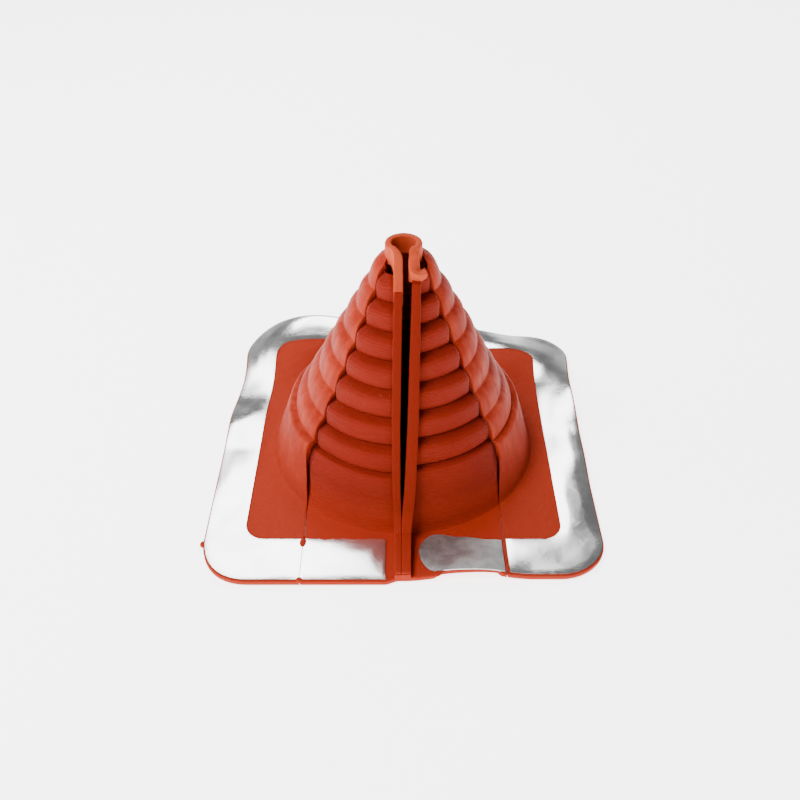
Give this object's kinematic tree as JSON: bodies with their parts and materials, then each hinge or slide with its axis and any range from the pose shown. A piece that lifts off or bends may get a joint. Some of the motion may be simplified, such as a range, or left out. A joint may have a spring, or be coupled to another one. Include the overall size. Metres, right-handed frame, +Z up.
{
  "type": "pipe flashing boot",
  "caption": "Stepped silicone cone on a soft square flange with aluminium edge strips, split down the front by a seam with standing lips, with a small split collar on top.",
  "frame": {"origin": "centre of the flange's outline on its underside, on the cone's axis", "axes": "+Z up along the cone's axis towards the collar, -Y towards the seam down the front of the cone, +X to the right for someone who faces the seam"},
  "size_m": [0.216, 0.216, 0.1394],
  "materials": {
    "silicone": "satin moulded silicone rubber, red-orange",
    "aluminium": "soft sheet, scuffed"
  },
  "bodies": {
    "root": {"boot_moulding": "silicone", "seam_panel_left": "silicone", "seam_panel_right": "silicone", "edge_strip_main": "aluminium", "edge_strip_front_left": "aluminium", "edge_strip_front_right": "aluminium"}
  },
  "joints": []
}
